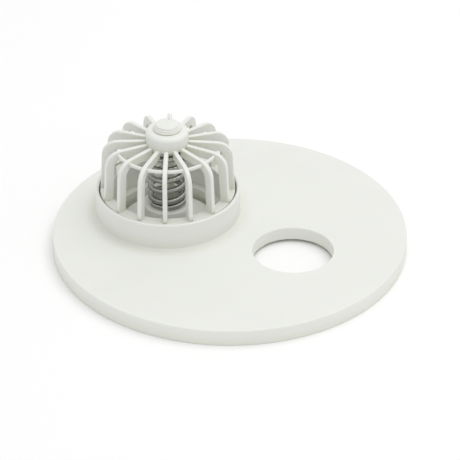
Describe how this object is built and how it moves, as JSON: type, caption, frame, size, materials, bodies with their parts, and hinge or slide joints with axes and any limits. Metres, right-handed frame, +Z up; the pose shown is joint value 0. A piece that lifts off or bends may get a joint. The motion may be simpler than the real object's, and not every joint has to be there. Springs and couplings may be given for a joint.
{
  "type": "pool skimmer vacuum plate",
  "caption": "Round white skimmer vacuum plate with a hose hole and a ribbed cage that holds a spring-loaded suction relief valve.",
  "frame": {"origin": "centre of the plate on the plane that it rests on", "axes": "+Z up through the plate towards the valve cage, +X from the relief valve to the hose hole"},
  "size_m": [0.2114, 0.2114, 0.0752],
  "materials": {
    "white_plastic": "satin, lightly textured moulded plastic",
    "spring_steel": "drawn stainless wire",
    "seal_rubber": "smooth black rubber"
  },
  "bodies": {
    "housing": {"skimmer_plate": "white_plastic", "valve_cage": "white_plastic", "relief_spring": "spring_steel"},
    "poppet": {"valve_poppet": "white_plastic", "poppet_seal": "seal_rubber", "stem_cap": "white_plastic"}
  },
  "joints": [
    {"name": "poppet_lift", "type": "slide", "parent": "housing", "child": "poppet", "axis": [0, 0, 1], "range_m": [0, 0.008], "stiffness_N_per_m": 30000, "springref_m": -0.001, "deforming": ["relief_spring"]}
  ]
}
